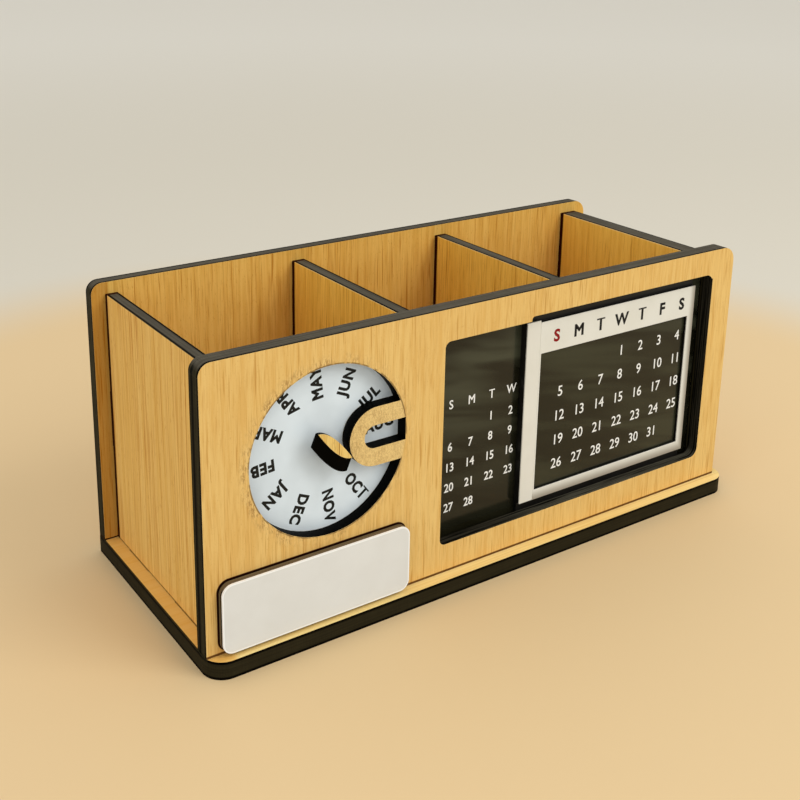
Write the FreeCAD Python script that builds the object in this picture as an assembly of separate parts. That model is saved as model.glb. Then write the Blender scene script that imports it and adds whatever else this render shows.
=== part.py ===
import FreeCAD, Part
import math
import os

# Desk organiser: three open compartments behind a layered front wall that holds a
# turning month dial and a sliding calendar window. Sizes are in millimetres.
# X runs along the front wall from its left end, Y from its front face towards the
# back, and Z up from the table. export() moves the origin to the middle of the
# underside.

# ---- driving dimensions ----

# Boards
body_length = 220.0              # front and back boards, along X
base_thickness = 6.1
base_ledge = 4.4                 # base standing out in front of the front board,
base_left_ledge = 0.3            # beyond its left end
base_right_ledge = 3.5           # and beyond its right end
base_corner_radius = 7.0
base_rear_radius = 0.8
front_height = 93.2              # above the base, as are the heights below
front_thickness = 4.3
spacer_thickness = 1.8
liner_thickness = 3.0            # carrier board and date plate, side by side
cover_thickness = 2.0
back_height = 93.9
back_thickness = 4.8
board_left_radius = 3.9          # top corners of the front and back boards
board_right_radius = 5.5
end_height = 89.9                # end boards, liner and rear cover
left_end_inset = 4.8             # outer faces of the end boards from the front's ends
right_end_inset = 5.6
left_end_thickness = 4.4
right_end_thickness = 7.6
divider_height = 89.9
divider_thickness = 5.0
left_bay_width = 66.8
middle_bay_width = 59.6
bay_depth = 68.7                 # rear cover to back board

# Joints between the boards
tab_length = 16.0
tab_clearance = 0.1              # between a tab and its slot, on every side
tab_end_share = 0.25             # a tab's middle from the board's end, in board lengths
back_tenon_height = 20.0
cover_tenon_height = 24.0
board_clearance = 0.1            # between the liner and the end boards

# Dial opening and its bridge
dial_centre_x = 42.85
dial_centre_drop = 37.1          # below the front board's top
dial_opening_radius = 27.7
bridge_half_height = 9.9
bridge_nose_gap = 6.9            # from the dial's centre to the bridge's round nose
bridge_rise = 0.7                # bridge's middle line above the dial's centre
slot_half_height = 3.8
slot_nose_wall = 5.4             # bridge left of the slot

# Dial and knob
disc_thickness = 1.4
disc_lap = 1.6                   # disc behind the front board, all round
disc_rim_clearance = 0.3
stem_radius = 3.0
spigot_radius = 2.0
spigot_clearance = 0.06          # running fit in the carrier board, on the radius
knob_float = 0.3                 # knob in front of the front board
knob_base_thickness = 1.0
knob_leaf_thickness = 0.5
leaf_half_length = 8.1
leaf_shoulder_along = 5.5        # the two curve poles of the leaf's edge, from its middle
leaf_shoulder_out = 2.6
leaf_waist_along = 0.5
leaf_waist_out = 1.9
leaf_angle = -41.0               # leaf's long axis from +X, turning up, degrees
leaf_shift_along = -0.9          # leaf's middle from the pivot, along and across its axis
leaf_shift_across = -2.1
base_shift_along = 1.4           # the black base reaches this much past the leaf
base_shift_across = 4.3
washer_radius = 4.0
washer_thickness = 0.5
washer_clearance = 0.15          # behind the carrier board
screw_shank_radius = 0.75
screw_shank_length = 5.0
screw_hole_clearance = 0.05
screw_head_radius = 2.2
screw_head_height = 1.1
service_hole_radius = 5.0        # in the rear cover, round the screw

# Calendar opening and the channel behind it
calendar_left = 85.4
calendar_right_margin = 10.6
calendar_bottom_margin = 10.4    # above the base
calendar_top_margin = 9.2        # raised part, below the front board's top
raised_part_left = 35.8          # from the opening's left side
raised_part_height = 1.7
opening_left_radius = 2.2
opening_right_radius = 3.5
raised_part_radius = 1.2
channel_lip = 2.0                # channel above and below the opening
channel_end_lap = 0.3            # channel beyond the opening at each end
plate_lap = 0.4                  # date plate beyond the opening at the right
plate_left_lap = 2.2             # and at the left

# Slider
slide_clearance = 0.15           # carriage in its channel, front and back
slide_edge_clearance = 0.2       # carriage in its channel, above and below
slider_rest_gap = 5.6            # slider's right side to the opening's right side
slider_length = 81.7
body_rise = 1.05                 # carriage's middle in front of the part in the channel
grip_width = 5.9
grip_seam = 0.1                  # between the grip strip and the bezel
grip_thickness = 0.5
grip_top_gap = 1.8               # below the opening's left part
grip_bottom_gap = 3.3
bezel_thickness = 0.4
bezel_top_gap = 2.6
bezel_bottom_gap = 3.15
window_left_rail = 0.6           # bezel between the grip strip and the window
window_right_rail = 3.1
window_bottom_rail = 3.7
window_header = 11.35            # header above the window
card_thickness = 0.25
card_clearance = 0.1             # card in the window, all round

# Plaque
plaque_left = 4.2
plaque_length = 66.8
plaque_rise = 1.2                # above the base
plaque_height = 23.0
plaque_radius = 3.5
plaque_board_thickness = 2.3
plaque_face_thickness = 0.6

# ---- places worked out from the dimensions ----

base_top = base_thickness
front_top = base_top + front_height
spacer_front = front_thickness
liner_front = spacer_front + spacer_thickness
cover_front = liner_front + liner_thickness
bay_front = cover_front + cover_thickness
bay_back = bay_front + bay_depth
rear_face = bay_back + back_thickness
liner_top = base_top + end_height

base_x = (-base_left_ledge, body_length + base_right_ledge)
left_end = (left_end_inset, left_end_inset + left_end_thickness)
right_end = (body_length - right_end_inset - right_end_thickness, body_length - right_end_inset)
left_divider = (left_end[1] + left_bay_width, left_end[1] + left_bay_width + divider_thickness)
right_divider_left = left_divider[1] + middle_bay_width
right_divider = (right_divider_left, right_divider_left + divider_thickness)

calendar_right = body_length - calendar_right_margin
calendar_bottom = base_top + calendar_bottom_margin
calendar_raised_top = front_top - calendar_top_margin
calendar_top = calendar_raised_top - raised_part_height
channel_x = (calendar_left - channel_end_lap, calendar_right + channel_end_lap)
channel_z = (calendar_bottom - channel_lip, calendar_raised_top + channel_lip)
plate_left = calendar_left - plate_left_lap
rabbet_depth = calendar_right + plate_lap + board_clearance - right_end[0]

dial_z = front_top - dial_centre_drop
disc_radius = dial_opening_radius + disc_lap
disc_gap = (spacer_thickness - disc_thickness) / 2
disc_front = spacer_front + disc_gap
bore_radius = spigot_radius + spigot_clearance
spigot_end = cover_front + washer_clearance

slider_right = calendar_right - slider_rest_gap
slider_x = (slider_right - slider_length, slider_right)
carriage_y = (spacer_front + slide_clearance, liner_front - slide_clearance)
body_front = carriage_y[0] - body_rise
grip_x = (slider_x[0], slider_x[0] + grip_width)
grip_z = (calendar_bottom + grip_bottom_gap, calendar_top - grip_top_gap)
bezel_x = (grip_x[1] + grip_seam, slider_right)
bezel_z = (calendar_bottom + bezel_bottom_gap, calendar_top - bezel_top_gap)
window_x = (bezel_x[0] + window_left_rail, bezel_x[1] - window_right_rail)
window_z = (bezel_z[0] + window_bottom_rail, bezel_z[1] - window_header)

same_place = 1e-6                # places closer than this are one
to_origin = FreeCAD.Vector(-(base_x[0] + base_x[1]) / 2, -(rear_face - base_ledge) / 2, 0)
along_y = FreeCAD.Vector(0, 1, 0)


# ---- shapes ----

def box(x_range, y_range, z_range):
    """A block between two values on each axis."""
    corner = FreeCAD.Vector(x_range[0], y_range[0], z_range[0])
    return Part.makeBox(x_range[1] - x_range[0], y_range[1] - y_range[0], z_range[1] - z_range[0], corner)


def grown(range_, by):
    """A range made longer by the same amount at both ends."""
    return (range_[0] - by, range_[1] + by)


def edges_at(shape, **place):
    """Straight edges whose ends both lie at the given x, y or z values."""
    def on_place(edge):
        ends = [vertex.Point for vertex in edge.Vertexes]
        return len(ends) == 2 and all(abs(getattr(p, axis) - value) < same_place for p in ends
                                      for axis, value in place.items())
    return [edge for edge in shape.Edges if on_place(edge)]


def round_corners(plate, x_range, z_range, radii):
    """Round an upright plate's bottom left, bottom right, top right and top left corners."""
    left, right = x_range
    bottom, top = z_range
    corners = [(left, bottom), (right, bottom), (right, top), (left, top)]
    for (x, z), radius in zip(corners, radii):
        if radius > 0:
            plate = plate.makeFillet(radius, edges_at(plate, x=x, z=z))
    return plate


def upright_plate(x_range, y_range, z_range, radii):
    return round_corners(box(x_range, y_range, z_range), x_range, z_range, radii)


def cylinder(radius, y_range, x=dial_centre_x, z=dial_z):
    """A round bar along Y, on the dial's axis unless another place is given."""
    return Part.makeCylinder(radius, y_range[1] - y_range[0], FreeCAD.Vector(x, y_range[0], z), along_y)


def tab_ranges(board_range):
    """Two tabs along a board's edge, as far from one end as from the other."""
    start, end = board_range
    reach = (end - start) * tab_end_share
    middles = (start + reach, end - reach)
    return [(middle - tab_length / 2, middle + tab_length / 2) for middle in middles]


def middle_range(board_range, length):
    middle = (board_range[0] + board_range[1]) / 2
    return (middle - length / 2, middle + length / 2)


# ---- tabs, also used a little larger to cut their slots ----

def cross_board_tabs(x_range, height, y_front, gap=0.0):
    """Tabs of an end board or divider: two into the base and one through the back board."""
    z_range = (base_top, base_top + height)
    tabs = [box(grown(x_range, gap), grown(y_range, gap), (0, base_top))
            for y_range in tab_ranges((y_front, bay_back))]
    tenon_z = grown(middle_range(z_range, back_tenon_height), gap)
    tabs.append(box(grown(x_range, gap), (bay_back, rear_face), tenon_z))
    return tabs


def cover_tenon(x_range, gap=0.0):
    """A divider's tenon through the rear cover."""
    z_range = (base_top, base_top + divider_height)
    tenon_z = grown(middle_range(z_range, cover_tenon_height), gap)
    return box(grown(x_range, gap), (cover_front, bay_front), tenon_z)


def back_board_tabs(gap=0.0):
    y_range = grown((bay_back, rear_face), gap)
    return [box(grown(x_range, gap), y_range, (0, base_top)) for x_range in tab_ranges((0, body_length))]


# ---- boards of the case ----

def base_plate():
    y_range = (-base_ledge, rear_face)
    plate = box(base_x, y_range, (0, base_top))
    for x in base_x:
        plate = plate.makeFillet(base_corner_radius, edges_at(plate, x=x, y=y_range[0]))
        plate = plate.makeFillet(base_rear_radius, edges_at(plate, x=x, y=y_range[1]))
    slots = back_board_tabs(tab_clearance)
    for x_range in (left_end, right_end):
        slots += cross_board_tabs(x_range, end_height, liner_front, tab_clearance)
    for x_range in (left_divider, right_divider):
        slots += cross_board_tabs(x_range, divider_height, bay_front, tab_clearance)
    return plate.cut(slots)


def dial_opening(y_range):
    """Round hole less the bridge that reaches over the dial, plus the slot in the bridge."""
    bridge_z = dial_z + bridge_rise
    hole = cylinder(dial_opening_radius, y_range)
    nose_x = dial_centre_x + bridge_nose_gap + bridge_half_height
    far_x = dial_centre_x + dial_opening_radius
    bridge = box((nose_x, far_x + bridge_half_height), y_range, grown((bridge_z, bridge_z), bridge_half_height))
    bridge = bridge.fuse(cylinder(bridge_half_height, y_range, nose_x, bridge_z))
    slot_x = dial_centre_x + bridge_nose_gap + slot_nose_wall + slot_half_height
    slot = box((slot_x, far_x), y_range, grown((bridge_z, bridge_z), slot_half_height))
    slot = slot.fuse(cylinder(slot_half_height, y_range, slot_x, bridge_z))
    return hole.cut(bridge).fuse(slot)


def calendar_opening(y_range):
    """Wide opening whose top steps up a little towards the right."""
    x_range = (calendar_left, calendar_right)
    z_range = (calendar_bottom, calendar_top)
    main = upright_plate(x_range, y_range, z_range,
                         (opening_left_radius, opening_right_radius, 0, opening_left_radius))
    raised_x = (calendar_left + raised_part_left, calendar_right)
    raised_z = (calendar_top - opening_right_radius, calendar_raised_top)
    raised = upright_plate(raised_x, y_range, raised_z, (0, 0, opening_right_radius, raised_part_radius))
    return main.fuse(raised)


def front_outline(y_range):
    return upright_plate((0, body_length), y_range, (base_top, front_top),
                         (0, 0, board_right_radius, board_left_radius))


def front_panel():
    y_range = (0, front_thickness)
    return front_outline(y_range).cut([dial_opening(y_range), calendar_opening(y_range)])


def spacer_board():
    """Thin board that makes the dial's round pocket and the slider's channel."""
    y_range = (spacer_front, liner_front)
    pocket = cylinder(disc_radius + disc_rim_clearance, y_range)
    return front_outline(y_range).cut([pocket, box(channel_x, y_range, channel_z)])


def carrier_board():
    """Left part of the liner, behind the dial, with the dial's bearing hole."""
    x_range = (left_end[1] - rabbet_depth + board_clearance, plate_left)
    y_range = (liner_front, cover_front)
    board = box(x_range, y_range, (base_top, liner_top))
    return board.cut(cylinder(bore_radius, y_range))


def date_plate():
    """Right part of the liner: the black plate behind the calendar opening."""
    x_range = (plate_left, right_end[0] + rabbet_depth - board_clearance)
    return box(x_range, (liner_front, cover_front), (base_top, liner_top))


def rear_cover():
    y_range = (cover_front, bay_front)
    cover = box((left_end[1], right_end[0]), y_range, (base_top, liner_top))
    tenons = [cover_tenon(x_range, tab_clearance) for x_range in (left_divider, right_divider)]
    return cover.cut(tenons + [cylinder(service_hole_radius, y_range)])


def end_board(x_range, rabbet_x):
    """End board with a rabbet at its front inner corner for the liner."""
    board = box(x_range, (liner_front, bay_back), (base_top, base_top + end_height))
    board = board.fuse(cross_board_tabs(x_range, end_height, liner_front))
    return board.cut(box(rabbet_x, (liner_front, cover_front), (base_top, base_top + end_height)))


def left_end_panel():
    return end_board(left_end, (left_end[1] - rabbet_depth, left_end[1]))


def right_end_panel():
    return end_board(right_end, (right_end[0], right_end[0] + rabbet_depth))


def divider(x_range):
    board = box(x_range, (bay_front, bay_back), (base_top, base_top + divider_height))
    return board.fuse(cross_board_tabs(x_range, divider_height, bay_front) + [cover_tenon(x_range)])


def back_panel():
    y_range = (bay_back, rear_face)
    board = upright_plate((0, body_length), y_range, (base_top, base_top + back_height),
                          (0, 0, board_right_radius, board_left_radius))
    slots = []
    for x_range in (left_end, right_end):
        slots += cross_board_tabs(x_range, end_height, liner_front, tab_clearance)
    for x_range in (left_divider, right_divider):
        slots += cross_board_tabs(x_range, divider_height, bay_front, tab_clearance)
    return board.cut(slots).fuse(back_board_tabs())


# ---- month dial ----

def dial_disc():
    y_range = (disc_front, disc_front + disc_thickness)
    return cylinder(disc_radius, y_range).cut(cylinder(spigot_radius, y_range))


def dial_stem():
    """Round stem from the knob to the disc, and its spigot through disc and carrier."""
    stem = cylinder(stem_radius, (-knob_float, disc_front))
    spigot = cylinder(spigot_radius, (disc_front, spigot_end))
    hole_radius = screw_shank_radius + screw_hole_clearance
    hole_depth = screw_shank_length + screw_hole_clearance
    screw_hole = cylinder(hole_radius, (spigot_end - hole_depth, spigot_end))
    return stem.fuse(spigot).cut(screw_hole)


def leaf_point(along, across, y):
    """A point in the leaf's own directions: along its axis and down to the left of it."""
    angle = math.radians(leaf_angle)
    x = dial_centre_x + along * math.cos(angle) + across * math.sin(angle)
    z = dial_z + along * math.sin(angle) - across * math.cos(angle)
    return FreeCAD.Vector(x, y, z)


def leaf_edge(turn, shift, y):
    """One bowed edge of the leaf, from one tip to the other; turn is 1 or -1."""
    poles = [(-leaf_half_length, 0), (-leaf_shoulder_along, -leaf_shoulder_out),
             (leaf_waist_along, -leaf_waist_out), (leaf_half_length, 0)]
    curve = Part.BezierCurve()
    curve.setPoles([leaf_point(turn * along + shift[0], turn * across + shift[1], y)
                    for along, across in poles])
    return curve.toShape()


def knob_plate(upper_shift, lower_shift, y_range):
    """A plate between two bowed edges, with straight ends where the edges stand apart."""
    edges = [leaf_edge(1, upper_shift, y_range[0]), leaf_edge(-1, lower_shift, y_range[0])]
    if upper_shift != lower_shift:
        for tip in (-leaf_half_length, leaf_half_length):
            ends = [leaf_point(tip + shift[0], shift[1], y_range[0]) for shift in (upper_shift, lower_shift)]
            edges.append(Part.makeLine(*ends))
    face = Part.Face(Part.Wire(Part.__sortEdges__(edges)))
    return face.extrude(FreeCAD.Vector(0, y_range[1] - y_range[0], 0))


def knob_base():
    upper = (leaf_shift_along, leaf_shift_across)
    lower = (leaf_shift_along + base_shift_along, leaf_shift_across + base_shift_across)
    return knob_plate(upper, lower, (-knob_float - knob_base_thickness, -knob_float))


def knob_leaf():
    shift = (leaf_shift_along, leaf_shift_across)
    back = -knob_float - knob_base_thickness
    return knob_plate(shift, shift, (back - knob_leaf_thickness, back))


def pivot_washer():
    y_range = (spigot_end, spigot_end + washer_thickness)
    return cylinder(washer_radius, y_range).cut(cylinder(screw_shank_radius + screw_hole_clearance, y_range))


def pivot_screw():
    head_front = spigot_end + washer_thickness
    shank = cylinder(screw_shank_radius, (spigot_end - screw_shank_length, head_front))
    head = cylinder(screw_head_radius, (head_front, head_front + screw_head_height))
    return shank.fuse(head)


# ---- sliding calendar window ----

def slider_carriage():
    """Plate that runs in the channel, with a raised middle that fills the opening's depth."""
    plate = box(slider_x, carriage_y, grown(channel_z, -slide_edge_clearance))
    rise_y = (body_front, carriage_y[0])
    middle = box(slider_x, rise_y, bezel_z).fuse(box(grip_x, rise_y, grip_z))
    return plate.fuse(middle.cut(box(window_x, rise_y, window_z))).removeSplitter()


def date_card():
    """Glossy card on the floor of the window."""
    y_range = (carriage_y[0] - card_thickness, carriage_y[0])
    return box(grown(window_x, -card_clearance), y_range, grown(window_z, -card_clearance))


def slider_bezel():
    """Thin frame with a deep header, glued to the carriage's raised middle."""
    y_range = (body_front - bezel_thickness, body_front)
    return box(bezel_x, y_range, bezel_z).cut(box(window_x, y_range, window_z))


def grip_strip():
    """Upright strip that a fingertip pushes, beside the bezel."""
    return box(grip_x, (body_front - grip_thickness, body_front), grip_z)


# ---- plaque ----

def plaque_layer(y_range):
    x_range = (plaque_left, plaque_left + plaque_length)
    z_range = (base_top + plaque_rise, base_top + plaque_rise + plaque_height)
    return upright_plate(x_range, y_range, z_range, (plaque_radius,) * 4)


def plaque_board():
    return plaque_layer((-plaque_board_thickness, 0))


def plaque_face():
    back = -plaque_board_thickness
    return plaque_layer((back - plaque_face_thickness, back))


# ---- one file for each piece ----

pieces = {
    "base_plate": base_plate(),
    "front_panel": front_panel(),
    "spacer_board": spacer_board(),
    "carrier_board": carrier_board(),
    "date_plate": date_plate(),
    "rear_cover": rear_cover(),
    "left_end_panel": left_end_panel(),
    "right_end_panel": right_end_panel(),
    "left_divider": divider(left_divider),
    "right_divider": divider(right_divider),
    "back_panel": back_panel(),
    "plaque_board": plaque_board(),
    "plaque_face": plaque_face(),
    "dial_disc": dial_disc(),
    "dial_stem": dial_stem(),
    "knob_base": knob_base(),
    "knob_leaf": knob_leaf(),
    "pivot_washer": pivot_washer(),
    "pivot_screw": pivot_screw(),
    "slider_carriage": slider_carriage(),
    "date_card": date_card(),
    "slider_bezel": slider_bezel(),
    "grip_strip": grip_strip(),
}


def export(name, shape):
    shape.translate(to_origin)
    shape.exportStep("parts/" + name + ".step")
    size = shape.BoundBox
    print(name, "solids", len(shape.Solids), "valid", shape.isValid(), "volume", round(shape.Volume, 1),
          "box", [round(v, 2) for v in (size.XMin, size.YMin, size.ZMin, size.XMax, size.YMax, size.ZMax)])


os.makedirs("parts", exist_ok=True)
for piece_name, piece_shape in pieces.items():
    export(piece_name, piece_shape)
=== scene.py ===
import math
from typing import NamedTuple

import bmesh
import bpy
from mathutils import Matrix, Vector


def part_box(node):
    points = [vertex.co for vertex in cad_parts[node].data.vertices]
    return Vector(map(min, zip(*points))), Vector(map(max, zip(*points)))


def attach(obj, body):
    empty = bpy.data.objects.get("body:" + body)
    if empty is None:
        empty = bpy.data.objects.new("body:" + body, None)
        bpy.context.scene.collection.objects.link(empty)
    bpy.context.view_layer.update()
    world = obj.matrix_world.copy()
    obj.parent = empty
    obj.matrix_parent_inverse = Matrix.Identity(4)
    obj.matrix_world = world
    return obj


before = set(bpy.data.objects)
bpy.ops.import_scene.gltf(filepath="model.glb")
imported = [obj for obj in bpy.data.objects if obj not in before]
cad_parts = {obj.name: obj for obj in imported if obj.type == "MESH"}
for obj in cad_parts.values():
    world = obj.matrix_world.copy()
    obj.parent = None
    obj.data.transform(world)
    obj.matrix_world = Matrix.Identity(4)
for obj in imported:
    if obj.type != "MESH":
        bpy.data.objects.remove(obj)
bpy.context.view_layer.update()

# Looks of a desk organiser: three open compartments behind a layered front wall with
# a month dial at its left and a sliding calendar window at its right. The boards are
# veneered fibreboard cut by a laser, so their cut edges are burnt dark.
#
# Lengths are in millimetres, and MM turns them to Blender's metres. The camera, the
# lamps and the floor are placed in metres.

MM = 0.001
X, Y, Z = 0, 1, 2
AXES = (X, Y, Z)


def box_mm(node):
    """A CAD node's lowest and highest corners, in millimetres."""
    return [tuple(value / MM for value in corner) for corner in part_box(node)]


disc_low, disc_high = box_mm("dial_disc")
dial_centre = ((disc_low[X] + disc_high[X]) / 2, (disc_low[Z] + disc_high[Z]) / 2)
dial_opening_radius = 27.7       # of the front board's round opening
slider_room_left = 36.4          # from the slider's carriage to the calendar opening's left end
calendar_left = box_mm("slider_carriage")[0][X] - slider_room_left
plaque_radius = 3.5              # of the plaque's corners


# ---- camera ----

camera_place = (-0.238058, -0.311269, 0.220198)
camera_azimuth = 33.462          # looking towards +X and +Y, degrees from +Y
camera_drop = 16.034             # looking down, degrees
camera_roll = 0.517              # degrees
camera_lens = 52.534             # on a sensor 36 mm wide
camera_shift = (0.05, -0.2)


def photo_camera():
    data = bpy.data.cameras.new("photo_camera")
    data.lens = camera_lens
    data.shift_x, data.shift_y = camera_shift
    data.clip_start = 0.01
    camera = bpy.data.objects.new("photo_camera", data)
    turn = (Matrix.Rotation(math.radians(-camera_azimuth), 4, "Z")
            @ Matrix.Rotation(math.radians(90 - camera_drop), 4, "X")
            @ Matrix.Rotation(math.radians(camera_roll), 4, "Z"))
    camera.matrix_world = Matrix.Translation(camera_place) @ turn
    bpy.context.scene.collection.objects.link(camera)
    bpy.context.scene.camera = camera


# ---- colours and shader nodes ----

def rgb(red, green, blue):
    """A colour written as it shows on a screen, 0 to 255, turned to linear light."""
    def linear(value):
        value /= 255
        return value / 12.92 if value <= 0.04045 else ((value + 0.055) / 1.055) ** 2.4
    return (linear(red), linear(green), linear(blue), 1.0)


class Graph:
    """The node tree of one material. Its places are millimetres in the part's own frame."""

    def __init__(self, name):
        self.material = bpy.data.materials.new(name)
        self.material.use_nodes = True
        self.tree = self.material.node_tree
        self.tree.nodes.clear()
        source = self.add("ShaderNodeTexCoord")
        self.facing = self.parts(source.outputs["Normal"])
        self.place = self.vector("MULTIPLY", source.outputs["Object"], (1 / MM,) * 3)
        self.at = self.parts(self.place)

    def add(self, kind, **settings):
        node = self.tree.nodes.new(kind)
        for key, value in settings.items():
            setattr(node, key, value)
        return node

    def feed(self, socket, value):
        if isinstance(value, bpy.types.NodeSocket):
            self.tree.links.new(value, socket)
        else:
            socket.default_value = value

    def math(self, operation, *values):
        node = self.add("ShaderNodeMath", operation=operation)
        for socket, value in zip(node.inputs, values):
            self.feed(socket, value)
        return node.outputs[0]

    def times(self, first, second):
        return self.math("MULTIPLY", first, second)

    def minus(self, first, second):
        return self.math("SUBTRACT", first, second)

    def larger(self, first, second):
        return self.math("MAXIMUM", first, second)

    def magnitude(self, value):
        return self.math("ABSOLUTE", value)

    def sloped(self, value, slope, start):
        """value times slope, plus start."""
        return self.math("MULTIPLY_ADD", value, slope, start)

    def vector(self, operation, *values):
        node = self.add("ShaderNodeVectorMath", operation=operation)
        for socket, value in zip(node.inputs, values):
            self.feed(socket, value)
        return node.outputs["Value" if operation == "LENGTH" else "Vector"]

    def parts(self, vector):
        node = self.add("ShaderNodeSeparateXYZ")
        self.feed(node.inputs[0], vector)
        return tuple(node.outputs)

    def point(self, x, y, z):
        node = self.add("ShaderNodeCombineXYZ")
        for socket, value in zip(node.inputs, (x, y, z)):
            self.feed(socket, value)
        return node.outputs[0]

    def fade(self, value, start, end, low=0.0, high=1.0):
        """Goes smoothly from low where value is start to high where it is end."""
        node = self.add("ShaderNodeMapRange", interpolation_type="SMOOTHSTEP")
        for socket, entry in zip(node.inputs, (value, start, end, low, high)):
            self.feed(socket, entry)
        return node.outputs[0]

    def noise(self, vector, sizes, detail=2.0, roughness=0.5, distortion=0.0):
        """Noise from 0 to 1 whose features are about as long as sizes along each axis."""
        scaled = self.vector("DIVIDE", vector, sizes)
        node = self.add("ShaderNodeTexNoise")
        for name, value in (("Vector", scaled), ("Scale", 1.0), ("Detail", detail),
                            ("Roughness", roughness), ("Distortion", distortion)):
            self.feed(node.inputs[name], value)
        return node.outputs[0]

    def mix(self, share, first, second):
        """The first colour where share is 0, and the second where it is 1."""
        node = self.add("ShaderNodeMix", data_type="RGBA")
        colours = [socket for socket in node.inputs if socket.type == "RGBA"]
        self.feed(node.inputs[0], share)
        self.feed(colours[0], first)
        self.feed(colours[1], second)
        return [socket for socket in node.outputs if socket.type == "RGBA"][0]

    def stain(self, colour, tone, pattern, start, end, share=1.0):
        """The colour where pattern is start, turning to tone by share where it is end."""
        return self.mix(self.fade(pattern, start, end, 0.0, share), colour, tone)

    def bump(self, height, depth):
        """Relief in which a height of 1 stands out by depth."""
        node = self.add("ShaderNodeBump")
        node.inputs["Strength"].default_value = 1.0
        node.inputs["Distance"].default_value = depth * MM
        self.feed(node.inputs["Height"], height)
        return node.outputs[0]

    def finish(self, colour, roughness, normal=None, specular=0.5, metallic=0.0):
        shader = self.add("ShaderNodeBsdfPrincipled")
        self.feed(shader.inputs["Base Color"], colour)
        self.feed(shader.inputs["Roughness"], roughness)
        self.feed(shader.inputs["Specular IOR Level"], specular)
        self.feed(shader.inputs["Metallic"], metallic)
        if normal is not None:
            self.feed(shader.inputs["Normal"], normal)
        output = self.add("ShaderNodeOutputMaterial")
        self.tree.links.new(shader.outputs[0], output.inputs["Surface"])
        return self.material


def from_dial_centre(graph):
    """Distance in x and z from the dial's centre."""
    beside = graph.minus(graph.at[X], dial_centre[0])
    above = graph.minus(graph.at[Z], dial_centre[1])
    return graph.vector("LENGTH", graph.point(beside, 0.0, above))


def beyond_plaque(graph):
    """Distance in x and z outside the plaque's rounded outline, less than 0 inside it."""
    low, high = box_mm("plaque_board")
    beyond = []
    for axis in (X, Z):
        middle, half = (low[axis] + high[axis]) / 2, (high[axis] - low[axis]) / 2
        from_middle = graph.magnitude(graph.minus(graph.at[axis], middle))
        beyond.append(graph.larger(graph.minus(from_middle, half - plaque_radius), 0.0))
    distance = graph.vector("LENGTH", graph.point(beyond[0], 0.0, beyond[1]))
    return graph.minus(distance, plaque_radius)


# ---- wood ----

# Veneer: its light tone, its streaks and its dark grain.
front_tones = (rgb(234, 194, 118), rgb(224, 178, 100), rgb(198, 147, 73))
side_tones = (rgb(239, 194, 110), rgb(228, 178, 91), rgb(184, 112, 26))
bay_tones = (rgb(240, 194, 88), rgb(227, 177, 73), rgb(193, 139, 50))
back_tones = (rgb(229, 187, 99), rgb(216, 169, 80), rgb(184, 130, 48))
base_tones = (rgb(247, 220, 148), rgb(239, 204, 126), rgb(214, 170, 92))
leaf_tones = (rgb(240, 205, 122), rgb(226, 183, 96), rgb(150, 100, 42))

# Burnt edges: core and marks where they face aside, then the same with painted top light facing up.
painted_top_light_tones = (rgb(90, 85, 73), rgb(66, 61, 51))
burnt_core = rgb(57, 52, 33)
board_edge = (burnt_core, rgb(30, 26, 16)) + painted_top_light_tones
base_edge = (rgb(48, 42, 25), rgb(36, 31, 18)) + painted_top_light_tones
plaque_edge = (rgb(118, 102, 76), rgb(92, 78, 56)) * 2

burnt_rim = rgb(2, 2, 1)         # along both brims of a cut edge
black_and_painted_shade = rgb(2, 2, 1)              # knob black, lines in the calendar's walls, and painted shade inside the dial's opening
sooty_wall = rgb(52, 48, 38)     # inside the calendar's opening
sill_painted_light = rgb(80, 77, 65)     # painted light on its bottom wall, which faces up
painted_lip_highlight = rgb(252, 222, 156)    # painted highlight on the veneer right beside a cut edge
joint_scorch_and_shadow = rgb(44, 12, 5)    # on the veneer, along a joint between two boards; round the plaque, painted contact shadow
foot_scorch = rgb(74, 34, 4)     # the same along the base
ledge_shade = rgb(226, 164, 62)  # on the narrow ledge left of the end panel
painted_shade_behind = rgb(156, 92, 4)   # painted shade on the back board beside the left end panel, in that panel's shadow
ring_pale = rgb(244, 212, 142)   # round the dial's opening
ring_fleck = rgb(146, 100, 46)
brink_scorch = rgb(112, 84, 48)  # on the very brink of that opening
bridge_pale = rgb(234, 202, 134)
bridge_mottle = rgb(168, 124, 66)

# How squarely a surface faces out of its board, 1 on a face and 0 on a cut edge: where each
# look begins, and where it is full.
edge_facing = (0.80, 0.55)
lip_highlight_facing = (0.99, 0.94)
glued_facing = (0.995, 0.97)     # an edge beside a face that is glued to another board

up_facing = (0.3, 0.8)           # how far up an edge faces where its painted top light begins, and is full
lip_highlight_share = 0.7
rim_width = 1.05                 # of the black line along a brim, less on a thin board
outer_edge_margin = 7.0          # the front board's outer edge is nearer to its outline than this
wood_relief = 0.03               # depth of the grain
wood_roughness = 0.44
wood_specular = 0.03


def grain_place(graph, board_axis, grain_axis, seed, length):
    """Place across and along the grain. Its lines wander a little, and are short where length
    is less than 1."""
    across_axis = next(axis for axis in AXES if axis not in (board_axis, grain_axis))
    flat = graph.point(graph.at[across_axis], graph.at[grain_axis], seed)
    wander = graph.noise(flat, (24.0, 90.0, 1.0), detail=1.0)
    across = graph.sloped(wander, 2.0, graph.at[across_axis])
    return graph.point(across, graph.math("DIVIDE", graph.at[grain_axis], length), seed)


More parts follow.
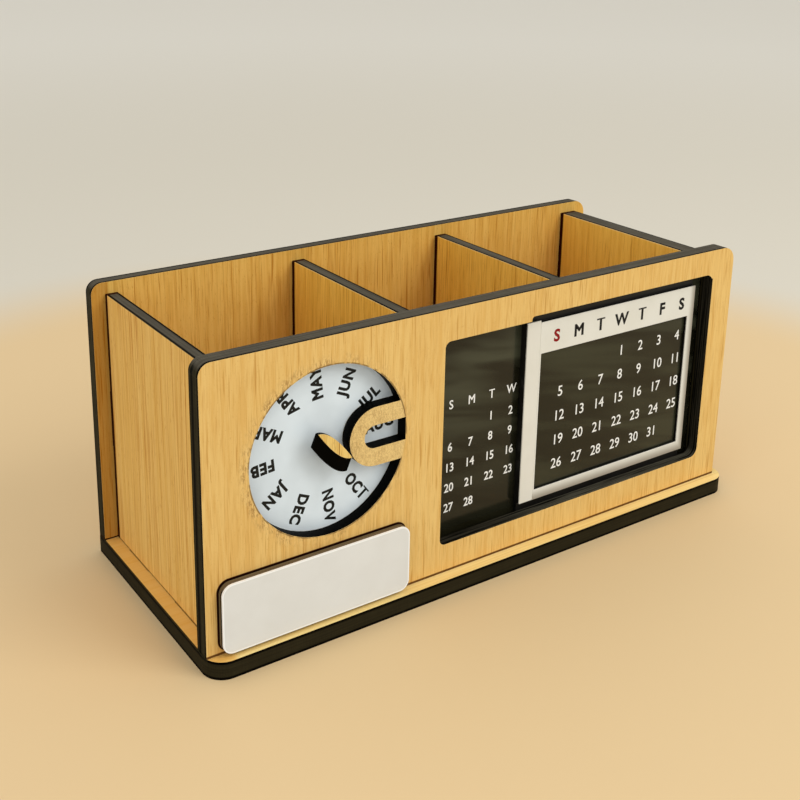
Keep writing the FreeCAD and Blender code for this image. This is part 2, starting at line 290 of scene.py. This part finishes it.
def wood_face(graph, place, tones, contrast):
    """Colour and height of the veneer: broad tones, streaks, fibres, lines and flecks."""
    light, streak, dark = tones
    broad = graph.noise(place, (19.0, 260.0, 1.0))
    streaks = graph.noise(place, (1.5, 70.0, 1.0), detail=3.0, roughness=0.6)
    fibres = graph.noise(place, (0.42, 34.0, 1.0), roughness=0.6)
    lines = graph.noise(place, (0.7, 60.0, 1.0), detail=1.0)
    flecks = graph.noise(place, (0.30, 2.6, 1.0), detail=1.0)
    share = graph.math("ADD", graph.fade(broad, 0.34, 0.68, 0.0, 0.45),
                       graph.fade(streaks, 0.38, 0.70, 0.0, 0.85))
    colour = graph.mix(graph.math("MINIMUM", share, 1.0), light, streak)
    colour = graph.stain(colour, dark, fibres, 0.48, 0.80, 0.42 * contrast)
    colour = graph.stain(colour, dark, lines, 0.63, 0.73, 0.45 * contrast)
    colour = graph.stain(colour, dark, flecks, 0.64, 0.80, 0.28 * contrast)
    height = graph.minus(graph.times(fibres, 0.6), graph.fade(flecks, 0.62, 0.78))
    return colour, height


def on_open_sides(graph, value, open_sides):
    """1 where value has the sign of a side of the board that is not glued to another board."""
    if len(open_sides) == 2:
        return 1.0
    if not open_sides:
        return 0.0
    return graph.fade(graph.times(value, open_sides[0]), -0.1, 0.1)


def cut_edge(graph, board_axis, middle, half, open_sides, tones):
    """Colour and height of a burnt edge: black lines at the faces, layers, laser marks, painted top
    light.
    """
    aside_core, aside_line, top_lit_core, top_lit_line = tones
    across_sizes, along_sizes = [0.22] * 3, [40.0] * 3
    across_sizes[board_axis], along_sizes[board_axis] = 6.0, 0.55
    marks = graph.noise(graph.place, across_sizes, roughness=0.65)
    layers = graph.noise(graph.place, along_sizes, detail=1.0)
    cloud = graph.noise(graph.place, (9.0, 9.0, 9.0), detail=3.0)
    # painted top light: an edge that faces up takes the paler tones
    up = graph.fade(graph.facing[Z], *up_facing)
    core = graph.mix(up, aside_core, top_lit_core)
    line = graph.mix(up, aside_line, top_lit_line)
    colour = graph.stain(core, line, marks, 0.35, 0.75, 0.5)
    colour = graph.stain(colour, line, layers, 0.42, 0.60, 0.6)
    colour = graph.stain(colour, line, cloud, 0.35, 0.75, 0.4)
    depth = graph.minus(graph.at[board_axis], middle)
    rim = min(rim_width, half * 0.6)
    at_brim = graph.fade(graph.magnitude(depth), half - rim, half - rim * 0.7)
    open_brim = graph.larger(on_open_sides(graph, depth, open_sides), graph.minus(1.0, up))
    colour = graph.mix(graph.times(at_brim, open_brim), colour, burnt_rim)
    return colour, marks


def opening_walls(graph):
    """Round the dial burnt walls made near black by painted shade. Round the calendar dark walls with
    lines along them, and painted light on the sill, which faces up, growing towards the right."""
    layers = graph.noise(graph.place, (30.0, 0.45, 30.0), roughness=0.7)
    # painted light on the sill: paler where it faces up, and more so towards the right
    to_right = graph.fade(graph.at[X], calendar_left + 20.0, calendar_left + 50.0, 0.15, 1.0)
    sill = graph.times(graph.fade(graph.facing[Z], *up_facing), to_right)
    wall = graph.mix(sill, sooty_wall, sill_painted_light)
    lined_wall = graph.stain(wall, black_and_painted_shade, layers, 0.42, 0.62)
    # painted shade: the dial opening's burnt walls, left of the calendar, are near black
    return graph.stain(black_and_painted_shade, lined_wall, graph.at[X], calendar_left - 3.0, calendar_left - 2.0)


def inside_outline(graph, node, margin):
    """1 farther than margin inside a front board's left, right and top ends, else 0."""
    low, high = box_mm(node)
    from_left = graph.minus(graph.at[X], low[X])
    from_right = graph.minus(high[X], graph.at[X])
    nearest = graph.minus(high[Z], graph.at[Z])
    nearest = graph.math("MINIMUM", nearest, from_left)
    nearest = graph.math("MINIMUM", nearest, from_right)
    return graph.fade(nearest, margin, margin + 0.5)


def speckled_rim(graph, colour):
    """Scorched and flecked veneer round the dial's opening, and mottled veneer on its bridge."""
    centre_x = dial_centre[0]
    beyond = graph.minus(from_dial_centre(graph), dial_opening_radius)
    patches = graph.noise(graph.place, (2.6, 2.6, 3.6))
    flecks = graph.noise(graph.place, (0.42, 0.42, 1.6), detail=4.0, roughness=0.75)
    grains = graph.noise(graph.place, (0.30, 0.30, 0.42), detail=3.0, roughness=0.8)
    more_at_left = graph.fade(graph.at[X], centre_x + 20.0, centre_x - 12.0, 0.45, 1.0)
    ring = graph.times(graph.fade(beyond, 4.6, 0.8), graph.fade(patches, 0.36, 0.60, 0.15, 1.0))
    ring = graph.times(ring, more_at_left)
    brink = graph.times(graph.fade(beyond, 0.55, 0.30), graph.fade(beyond, -0.1, 0.05))
    bridge = graph.fade(beyond, 0.6, -0.6)
    fleck_share = graph.times(ring, graph.fade(flecks, 0.45, 0.60, 0.0, 0.75))
    mottle_share = graph.times(bridge, graph.fade(grains, 0.47, 0.62, 0.0, 0.50))
    brink_share = graph.times(brink, graph.fade(patches, 0.40, 0.55, 0.1, 0.75))
    colour = graph.mix(graph.times(ring, 0.30), colour, ring_pale)
    colour = graph.mix(graph.times(bridge, 0.80), colour, bridge_pale)
    colour = graph.mix(fleck_share, colour, ring_fleck)
    colour = graph.mix(mottle_share, colour, bridge_mottle)
    return graph.mix(brink_share, colour, brink_scorch)


class Strip(NamedTuple):
    """A darker strip on a board, across one axis."""
    axis: int
    place: float                 # of its middle, along the axis
    half_width: float
    tone: tuple
    share: float                 # how much of it covers the wood, from 0 to 1
    side: int = 0                # -1 or 1 is one face of the board, and 0 is all round


def add_strips(graph, colour, board_axis, strips):
    """The colour with these strips on it. The outer quarter of a strip fades away."""
    for strip in strips:
        distance = graph.magnitude(graph.minus(graph.at[strip.axis], strip.place))
        share = graph.fade(distance, strip.half_width, strip.half_width * 0.75, 0.0, strip.share)
        if strip.side != 0:
            on_side = graph.fade(graph.times(graph.facing[board_axis], strip.side), 0.0, 0.5)
            share = graph.times(share, on_side)
        colour = graph.mix(share, colour, strip.tone)
    return colour


def board_material(node, board_axis, grain_axis, tones, seed, contrast=1.0, length=1.0,
                   is_front=False, shades=(), seams=(), open_sides=(-1, 1), edge_tones=board_edge):
    """Veneered board, with board_axis through its thickness: wood on its two faces and burnt
    edges all round. Shades are strips under the edges' colour, and seams are strips over it.
    The open sides are those not glued to another board."""
    graph = Graph("board." + node)
    low, high = box_mm(node)
    middle = (low[board_axis] + high[board_axis]) / 2
    half = (high[board_axis] - low[board_axis]) / 2
    place = grain_place(graph, board_axis, grain_axis, seed, length)
    colour, height = wood_face(graph, place, tones, contrast)
    colour = add_strips(graph, colour, board_axis, shades)
    edge_colour, marks = cut_edge(graph, board_axis, middle, half, open_sides, edge_tones)
    if is_front:
        colour = speckled_rim(graph, colour)
        # painted contact shadow round the plaque, in the joints' dark colour
        colour = graph.stain(colour, joint_scorch_and_shadow, beyond_plaque(graph), 0.6, 0.35)
        # painted shade on the dial opening's walls, painted light on the calendar's sill
        in_opening = inside_outline(graph, node, outer_edge_margin)
        edge_colour = graph.mix(in_opening, edge_colour, opening_walls(graph))
    flat = graph.magnitude(graph.facing[board_axis])
    open_side = on_open_sides(graph, graph.facing[board_axis], open_sides)
    glued_edge = graph.times(graph.minus(1.0, open_side), graph.fade(flat, *glued_facing))
    edge = graph.larger(graph.fade(flat, *edge_facing), glued_edge)
    # painted highlight on the veneer's brim beside an open cut edge
    lip_highlight = graph.times(graph.fade(flat, *lip_highlight_facing, 0.0, lip_highlight_share), open_side)
    colour = graph.mix(edge, graph.mix(lip_highlight, colour, painted_lip_highlight), edge_colour)
    colour = add_strips(graph, colour, board_axis, seams)
    relief = graph.mix(edge, height, marks)
    roughness = graph.sloped(edge, 0.10, graph.sloped(height, 0.10, wood_roughness))
    return graph.finish(colour, roughness, graph.bump(relief, wood_relief), wood_specular)


# ---- plastics and metal ----

# Each tone is followed by that of its faint clouds, or on a glossy sheet by its painted reflection.
black = (rgb(7, 7, 6), rgb(24, 23, 20))
knob_black = (black_and_painted_shade, rgb(7, 6, 5))
grip_white = (rgb(228, 223, 208), rgb(218, 212, 195))
plaque_white = (rgb(227, 225, 217), rgb(220, 217, 208))
bezel_white = (rgb(229, 225, 211), rgb(221, 216, 199))
dial_white = (rgb(228, 238, 242), rgb(218, 228, 232))
gloss_plate = (rgb(24, 23, 13), rgb(63, 64, 48))
gloss_card = (rgb(23, 23, 12), rgb(49, 50, 34))
zinc = (rgb(196, 196, 192), rgb(166, 168, 168))

gloss_dust = rgb(96, 94, 84)
plaque_skin = rgb(208, 205, 196)
# painted highlight along the plaque face's brim
plaque_painted_highlight = rgb(248, 247, 242)
bezel_skin = rgb(190, 182, 164)
bezel_painted_shade = rgb(150, 140, 122)  # painted shade on the outside of the right and bottom rails
dial_ring = rgb(180, 188, 191)   # fine turned rings
dial_rubbed = rgb(190, 197, 198)


def gloss_material(name, tones, roughness, reflection_rise=None):
    """Glossy black sheet with dust and soft bands of painted reflection; the last argument is the lowest
    and highest z between which the painted reflection grows."""
    graph = Graph(name)
    tone, painted_reflection = tones
    slant = graph.sloped(graph.at[X], 0.22, graph.at[Z])
    flat = graph.point(graph.at[X], 0.0, slant)
    bands = graph.noise(flat, (60.0, 1.0, 9.0), distortion=0.5)
    dust = graph.noise(graph.place, (0.32,) * 3, detail=1.0)
    # painted reflection in soft slanted bands, on the plate growing towards the top
    share = graph.fade(bands, 0.36, 0.66)
    if reflection_rise is not None:
        share = graph.times(share, graph.fade(graph.at[Z], *reflection_rise, 0.15, 1.0))
    colour = graph.mix(share, tone, painted_reflection)
    colour = graph.stain(colour, gloss_dust, dust, 0.76, 0.84, 0.25)
    return graph.finish(colour, graph.sloped(bands, 0.10, roughness), specular=0.3)


def satin_clouds(graph, tones, cloud_size):
    """Faintly clouded plastic: its colour, and the patterns of its clouds and its fine skin."""
    tone, shade = tones
    cloud = graph.noise(graph.place, (cloud_size,) * 3, detail=3.0)
    skin = graph.noise(graph.place, (0.16,) * 3)
    return graph.stain(tone, shade, cloud, 0.3, 0.75, 0.6), cloud, skin


def satin_finish(graph, colour, cloud, skin, roughness, specular=0.5):
    rough = graph.sloped(cloud, 0.12, roughness)
    return graph.finish(colour, rough, graph.bump(skin, 0.004), specular)


def satin_material(name, tones, roughness, specular=0.5):
    """Satin plastic with a fine even skin."""
    graph = Graph(name)
    colour, cloud, skin = satin_clouds(graph, tones, cloud_size=12.5)
    colour = graph.stain(colour, tones[1], skin, 0.45, 0.8, 0.12)
    return satin_finish(graph, colour, cloud, skin, roughness, specular)


def plaque_material():
    """Satin off-white with a painted highlight along its brim all round."""
    graph = Graph("plaque_white")
    colour, cloud, skin = satin_clouds(graph, plaque_white, cloud_size=12.0)
    colour = graph.stain(colour, plaque_skin, skin, 0.45, 0.8, 0.12)
    colour = graph.stain(colour, plaque_painted_highlight, beyond_plaque(graph), -0.60, -0.30)
    return satin_finish(graph, colour, cloud, skin, 0.33)


def bezel_material():
    """Satin off-white with painted shade, greyer towards the outside of the right and bottom rails."""
    graph = Graph("bezel_white")
    low, high = box_mm("slider_bezel")
    colour, cloud, skin = satin_clouds(graph, bezel_white, cloud_size=12.0)
    # painted shade towards the outer brims of the right and bottom rails
    to_right = graph.fade(graph.at[X], high[X] - 3.0, high[X])
    to_bottom = graph.fade(graph.at[Z], low[Z] + 4.2, low[Z])
    painted_shade_share = graph.times(graph.larger(to_right, to_bottom), 0.9)
    colour = graph.mix(painted_shade_share, colour, bezel_painted_shade)
    colour = graph.stain(colour, bezel_skin, skin, 0.45, 0.8, 0.10)
    return satin_finish(graph, colour, cloud, skin, 0.36)


def dial_material():
    """Satin silver-white disc, turned on a lathe: fine rings, soft clouds and faint rubbing."""
    graph = Graph("dial_face")
    tone, shade = dial_white
    outward = graph.point(from_dial_centre(graph), 0.0, 0.0)
    rings = graph.noise(outward, (0.16, 1.0, 1.0), detail=3.0)
    cloud = graph.noise(graph.place, (12.0,) * 3)
    rubbed = graph.noise(graph.place, (0.5, 0.5, 2.2), detail=3.0, roughness=0.7)
    colour = graph.stain(tone, shade, cloud, 0.3, 0.7)
    colour = graph.stain(colour, dial_ring, rings, 0.45, 0.85, 0.14)
    colour = graph.stain(colour, dial_rubbed, rubbed, 0.66, 0.85, 0.20)
    return graph.finish(colour, graph.sloped(rings, 0.12, 0.30), graph.bump(rings, 0.003))


def steel_material():
    graph = Graph("zinc_steel")
    tone, shade = zinc
    brushed = graph.noise(graph.place, (0.08, 0.8, 0.4), detail=3.0)
    cloud = graph.noise(graph.place, (1.5,) * 3)
    rough = graph.sloped(brushed, 0.25, 0.22)
    return graph.finish(graph.mix(cloud, tone, shade), rough, graph.bump(brushed, 0.004), metallic=1.0)


def ink_material(name, tone):
    """Printed ink with slightly uneven cover."""
    graph = Graph(name)
    cover = graph.noise(graph.place, (0.35,) * 3, detail=3.0)
    worn = tuple(value * 0.85 + 0.008 for value in tone[:3]) + (1.0,)
    colour = graph.stain(tone, worn, cover, 0.40, 0.80, 0.7)
    return graph.finish(colour, graph.sloped(cover, 0.15, 0.42), specular=0.2)


# ---- the CAD nodes: softened edges and materials ----

board_bevel = 0.28


def dress(node, material, bevel_width=board_bevel, segments=2):
    """Give a CAD node its material, join its faces and break its sharp edges. Its mesh stays."""
    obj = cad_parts[node]
    obj.data.materials.clear()
    obj.data.materials.append(material)
    weld = obj.modifiers.new("weld", "WELD")
    weld.merge_threshold = 0.001 * MM
    bevel = obj.modifiers.new("bevel", "BEVEL")
    bevel.width = bevel_width * MM
    bevel.segments = segments
    bevel.limit_method = "ANGLE"
    bevel.angle_limit = math.radians(35)
    bevel.use_clamp_overlap = True


def dress_board(node, board_axis, grain_axis, tones, seed, **looks):
    dress(node, board_material(node, board_axis, grain_axis, tones, seed, **looks))


base_top = box_mm("base_plate")[1][Z]
back_inside = box_mm("back_panel")[0][Y]
front_foot = Strip(Z, base_top, 0.95, foot_scorch, 0.9, side=-1)
foot = Strip(Z, base_top, 0.65, foot_scorch, 0.7)
back_foot = Strip(Z, base_top, 0.6, joint_scorch_and_shadow, 1.0)
back_joint = Strip(Y, back_inside, 2.2, joint_scorch_and_shadow, 1.0)


def dress_front_wall():
    dress_board("front_panel", Y, Z, front_tones, 3.1, contrast=1.75, length=0.35,
                is_front=True, seams=(front_foot,), open_sides=(-1,))
    dress_board("spacer_board", Y, Z, back_tones, 8.7, open_sides=())
    dress_board("carrier_board", Y, Z, back_tones, 13.9, open_sides=(1,))
    dress_board("rear_cover", Y, Z, back_tones, 19.3, seams=(foot,), open_sides=(1,))


def dress_walls():
    """The end panels and dividers, which all meet the base and the back board."""
    walls = (                    # tones, seed, contrast and length of the grain
        ("left_end_panel", side_tones, 27.4, 2.3, 1.3),
        ("right_end_panel", bay_tones, 33.8, 1.5, 0.4),
        ("left_divider", bay_tones, 41.2, 2.3, 0.5),
        ("right_divider", bay_tones, 47.6, 2.3, 0.4),
    )
    for node, tones, seed, contrast, length in walls:
        dress_board(node, X, Z, tones, seed, contrast=contrast, length=length,
                    seams=(foot, back_joint))


def dress_back_and_base():
    """The left end panel stands a ledge's width inside both of these boards' left ends."""
    base_left = box_mm("base_plate")[0][X]
    back_left = box_mm("back_panel")[0][X]
    panel_low, panel_high = box_mm("left_end_panel")
    ledge_width = panel_low[X] - base_left
    ledge_reach = panel_high[X] - base_left
    ledge_middle = (back_left + panel_low[X]) / 2
    # painted shade on the back board's inner face beside the left end panel
    behind = Strip(X, ledge_middle, ledge_width * 0.8, painted_shade_behind, 0.5, side=-1)
    ledge = Strip(X, base_left, ledge_reach, ledge_shade, 0.6, side=1)
    ledge_brim = Strip(X, base_left, 0.6, burnt_core, 1.0, side=1)
    dress_board("back_panel", Y, Z, back_tones, 55.5, contrast=2.1, length=0.5,
                shades=(behind,), seams=(back_foot,))
    dress_board("base_plate", Z, X, base_tones, 61.7, contrast=0.7,
                shades=(ledge,), seams=(ledge_brim,), edge_tones=base_edge)


def dress_plaque():
    plaque_wood = board_material("plaque_board", Y, X, back_tones, 71.3,
                                 open_sides=(1,), edge_tones=plaque_edge)
    dress("plaque_board", plaque_wood, 0.12)
    dress("plaque_face", plaque_material(), 0.25, segments=3)


def dress_dial():
    leaf_wood = board_material("knob_leaf", Y, Z, leaf_tones, 77.9, contrast=3.0)
    steel = steel_material()
    dress("dial_disc", dial_material(), 0.12)
    dress("dial_stem", satin_material("black_stem", black, 0.40), 0.10)
    dress("knob_base", satin_material("knob_black", knob_black, 0.34, specular=0.02), 0.12)
    dress("knob_leaf", leaf_wood, 0.10)
    dress("pivot_washer", steel, 0.06)
    dress("pivot_screw", steel, 0.10)


def dress_calendar():
    dress("date_plate", gloss_material("gloss_plate", gloss_plate, 0.12, reflection_rise=(20.0, 75.0)), 0.15)
    dress("date_card", gloss_material("gloss_card", gloss_card, 0.14), 0.06)
    dress("slider_carriage", satin_material("black_carriage", black, 0.38, specular=0.3), 0.10)
    dress("slider_bezel", bezel_material(), 0.10)
    dress("grip_strip", satin_material("grip_white", grip_white, 0.38), 0.10)


# ---- print ----

print_thickness = 0.03           # how far print stands out of its surface


class Letters(NamedTuple):
    """How words are printed."""
    height: float                # of a capital, before it is widened
    weight: float                # how far outlines are moved outward, as a share of the height
    width: float = 1.0           # less than 1 is narrower than the font
    spacing: float = 1.0         # between letters, where 1 is the font's own


def flat_letters(text, spacing=1.0):
    """Flat letters in the XY plane, as the built-in font draws them."""
    curve = bpy.data.curves.new("letters", "FONT")
    curve.body = text
    curve.align_x = "CENTER"
    curve.space_character = spacing
    curve.resolution_u = 3
    holder = bpy.data.objects.new("letters", curve)
    mesh = bpy.data.meshes.new_from_object(holder)
    bpy.data.objects.remove(holder)
    bpy.data.curves.remove(curve)
    shape = bmesh.new()
    shape.from_mesh(mesh)
    bpy.data.meshes.remove(mesh)
    bmesh.ops.remove_doubles(shape, verts=shape.verts, dist=1e-5)
    return shape


def outward_normals(vertex):
    """Directions out of a flat letter, one for each edge of its outline at this vertex."""
    normals = []
    for edge in vertex.link_edges:
        if edge.is_boundary:
            start, end = edge.verts[0].co, edge.verts[1].co
            normal = (end - start).cross(Vector((0, 0, 1))).normalized()
            inside = edge.link_faces[0].calc_center_median() - start
            normals.append(normal if normal.dot(inside) < 0 else -normal)
    return normals


def widen(shape, weight):
    """Move the outline of flat letters outward by weight, and its corners by twice that at most."""
    moves = []
    for vertex in shape.verts:
        normals = outward_normals(vertex)
        if len(normals) == 2 and (normals[0] + normals[1]).length > 0.1:
            mitre = (normals[0] + normals[1]).normalized()
            moves.append((vertex, mitre * (weight / max(mitre.dot(normals[0]), 0.5))))
    for vertex, move in moves:
        vertex.co += move


def letter_shape(text, weight, spacing):
    """Solid letters with a capital's height of 1 before they are widened, 1 thick, centred."""
    capital = flat_letters("H")
    heights = [vertex.co.y for vertex in capital.verts]
    base, height = min(heights), max(heights) - min(heights)
    capital.free()
    shape = flat_letters(text, spacing)
    shape.transform(Matrix.Translation((0, -(base + height / 2), 0)))
    shape.transform(Matrix.Diagonal((1 / height, 1 / height, 1, 1)))
    widen(shape, weight)
    extruded = bmesh.ops.extrude_face_region(shape, geom=shape.faces[:])["geom"]
    front = [item for item in extruded if isinstance(item, bmesh.types.BMVert)]
    bmesh.ops.translate(shape, vec=(0, 0, 1), verts=front)
    bmesh.ops.recalc_face_normals(shape, faces=shape.faces)
    return shape


def print_piece(name, words, face_y, style, material, body):
    """Words on a surface that faces -Y. Each word is its text, middle x and z, and turn."""
    size = Matrix.Diagonal((style.height * style.width * MM, style.height * MM, print_thickness * MM, 1))
    upright = Matrix.Rotation(math.pi / 2, 4, "X")
    mesh = bpy.data.meshes.new(name)
    whole = bmesh.new()
    for text, x, z, turn in words:
        letters = letter_shape(text, style.weight, style.spacing)
        place = Matrix.Translation((x * MM, face_y * MM, z * MM))
        letters.transform(place @ upright @ Matrix.Rotation(math.radians(turn), 4, "Z") @ size)
        letters.to_mesh(mesh)
        letters.free()
        whole.from_mesh(mesh)
    whole.to_mesh(mesh)
    whole.free()
    mesh.materials.append(material)
    piece = bpy.data.objects.new(name, mesh)
    bpy.context.scene.collection.objects.link(piece)
    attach(piece, body)


months = ("JAN", "FEB", "MAR", "APR", "MAY", "JUN", "JUL", "AUG", "SEP", "OCT", "NOV", "DEC")
january_angle = 216.1            # degrees from +X, turning up
month_turn = 30                  # degrees from one month down to the next
month_radius = 20.8              # middle of a word from the dial's centre
month_letters = Letters(3.5, 0.072, width=0.92, spacing=1.15)

weekdays = "SMTWTFS"
weekday_inset = (7.4, 5.9)       # the first letter's middle from the bezel's top left corner
weekday_pitch = 10.25
sunday_letters = Letters(4.1, 0.054)
weekday_letters = Letters(4.1, 0.057)

card_days, card_first_column = 31, 3
card_inset = (10.9, 7.1)         # the first cell's middle from the card's top left corner
card_pitch = (9.6, 9.15)
card_letters = Letters(3.7, 0.008, width=0.94)

plate_days, plate_first_column, plate_columns = 28, 2, 4
plate_inset = 10.0               # the first column's middle from the plate's left end
plate_heading_z = 63.1
plate_dates_z = 55.2
plate_pitch = (8.57, 7.38)
plate_letters = Letters(3.0, 0.022, width=0.9)


def month_words():
    words = []
    for index, month in enumerate(months):
        angle = january_angle - month_turn * index
        reach = math.radians(angle)
        words.append((month, dial_centre[0] + month_radius * math.cos(reach),
                      dial_centre[1] + month_radius * math.sin(reach), angle))
    return words


def table_words(rows, left, top, pitch):
    """The words of a table, each a column apart; empty text leaves its place bare."""
    pitch_x, pitch_z = pitch
    return [(text, left + column * pitch_x, top - row * pitch_z, 0.0)
            for row, line in enumerate(rows) for column, text in enumerate(line) if text]


def month_rows(days, first_column, columns):
    """Day numbers in rows of a week, of which the leftmost columns are shown."""
    week = len(weekdays)
    cells = [""] * first_column + [str(day + 1) for day in range(days)]
    return [cells[start:start + week][:columns] for start in range(0, len(cells), week)]


def print_months():
    ink = ink_material("ink_grey", rgb(17, 20, 18))
    print_piece("month_print", month_words(), disc_low[Y], month_letters, ink, "dial")


def print_weekdays():
    """Sunday in red and the other letters in black, on the bezel's header."""
    low, high = box_mm("slider_bezel")
    left, top = low[X] + weekday_inset[0], high[Z] - weekday_inset[1]
    words = table_words([weekdays], left, top, (weekday_pitch, 0.0))
    black_ink = ink_material("ink_black", rgb(9, 9, 12))
    red_ink = ink_material("ink_red", rgb(140, 6, 8))
    print_piece("sunday_print", words[:1], low[Y], sunday_letters, red_ink, "slider")
    print_piece("weekday_print", words[1:], low[Y], weekday_letters, black_ink,
                "slider")


def print_dates():
    """A month on the sliding card, and the first columns of another on the fixed plate."""
    ink = ink_material("ink_white", rgb(246, 243, 234))
    low, high = box_mm("date_card")
    rows = month_rows(card_days, card_first_column, len(weekdays))
    words = table_words(rows, low[X] + card_inset[0], high[Z] - card_inset[1], card_pitch)
    print_piece("date_print", words, low[Y], card_letters, ink, "slider")

    low = box_mm("date_plate")[0]
    left = low[X] + plate_inset
    rows = month_rows(plate_days, plate_first_column, plate_columns)
    words = table_words([weekdays[:plate_columns]], left, plate_heading_z, plate_pitch)
    words += table_words(rows, left, plate_dates_z, plate_pitch)
    print_piece("side_date_print", words, low[Y], plate_letters, ink, "case")


# ---- floor, world and lamps ----

floor_radius = 6.0               # metres
floor_glow = rgb(205, 201, 193)  # for all other rays, so that its light on the part is neutral
floor_under = rgb(227, 199, 152)
floor_beside = rgb(218, 212, 196)
floor_far = rgb(232, 228, 216)
under_to_beside = (262.0, 368.0)  # between these distances from the part's middle
beside_to_far = (500.0, 1700.0)
wall_tone = rgb(216, 210, 197)
world_glow = (1.0, 0.99, 0.975, 1.0)
world_strength = 0.8
lamp_target = Vector((0, 0, 0.05))


def background_ray(nodes, links):
    """1 for rays that show the background: straight from the camera, mirrored or through glass."""
    path = nodes.new("ShaderNodeLightPath")
    shown = path.outputs["Is Camera Ray"]
    for name in ("Is Glossy Ray", "Is Transmission Ray"):
        larger = nodes.new("ShaderNodeMath")
        larger.operation = "MAXIMUM"
        links.new(shown, larger.inputs[0])
        links.new(path.outputs[name], larger.inputs[1])
        shown = larger.outputs[0]
    return shown


def floor_material():
    """Plain pale floor, warm under the part and more neutral far away."""
    graph = Graph("floor")
    distance = graph.vector("LENGTH", graph.place)
    beyond = graph.stain(floor_beside, floor_far, distance, *beside_to_far)
    shown = graph.stain(floor_under, beyond, distance, *under_to_beside)
    colour = graph.mix(background_ray(graph.tree.nodes, graph.tree.links), floor_glow, shown)
    return graph.finish(colour, 0.62, specular=0.25)


def make_floor():
    mesh = bpy.data.meshes.new("floor")
    shape = bmesh.new()
    bmesh.ops.create_circle(shape, cap_ends=True, segments=96, radius=floor_radius)
    shape.to_mesh(mesh)
    shape.free()
    mesh.materials.append(floor_material())
    floor = bpy.data.objects.new("floor", mesh)
    bpy.context.scene.collection.objects.link(floor)


def make_world():
    """Even soft light from all round, and a plain wall colour where a ray sees the world."""
    world = bpy.data.worlds.new("studio")
    world.use_nodes = True
    nodes, links = world.node_tree.nodes, world.node_tree.links
    nodes.clear()
    light = nodes.new("ShaderNodeBackground")
    light.inputs["Color"].default_value = world_glow
    light.inputs["Strength"].default_value = world_strength
    wall = nodes.new("ShaderNodeBackground")
    wall.inputs["Color"].default_value = wall_tone
    wall.inputs["Strength"].default_value = 1.0
    choice = nodes.new("ShaderNodeMixShader")
    links.new(background_ray(nodes, links), choice.inputs[0])
    links.new(light.outputs[0], choice.inputs[1])
    links.new(wall.outputs[0], choice.inputs[2])
    output = nodes.new("ShaderNodeOutputWorld")
    links.new(choice.outputs[0], output.inputs["Surface"])
    bpy.context.scene.world = world


def softbox(name, place, size, power, colour):
    """A square lamp that faces the part, placed in metres."""
    data = bpy.data.lights.new(name, "AREA")
    data.shape = "SQUARE"
    data.size = size
    data.energy = power
    data.color = colour
    lamp = bpy.data.objects.new(name, data)
    lamp.location = place
    aim = lamp_target - Vector(place)
    lamp.rotation_euler = aim.to_track_quat("-Z", "Y").to_euler()
    bpy.context.scene.collection.objects.link(lamp)


# ---- the whole scene ----

photo_camera()
make_floor()
make_world()
softbox("key", (0.48, -0.84, 0.92), size=0.7, power=6.0, colour=(1.0, 0.985, 0.96))
softbox("fill", (-0.9, -0.6, 0.7), size=1.2, power=2.0, colour=(1.0, 0.99, 0.975))

dress_front_wall()
dress_walls()
dress_back_and_base()
dress_plaque()
dress_dial()
dress_calendar()

print_months()
print_weekdays()
print_dates()

scene = bpy.context.scene
scene.view_settings.view_transform = "Standard"
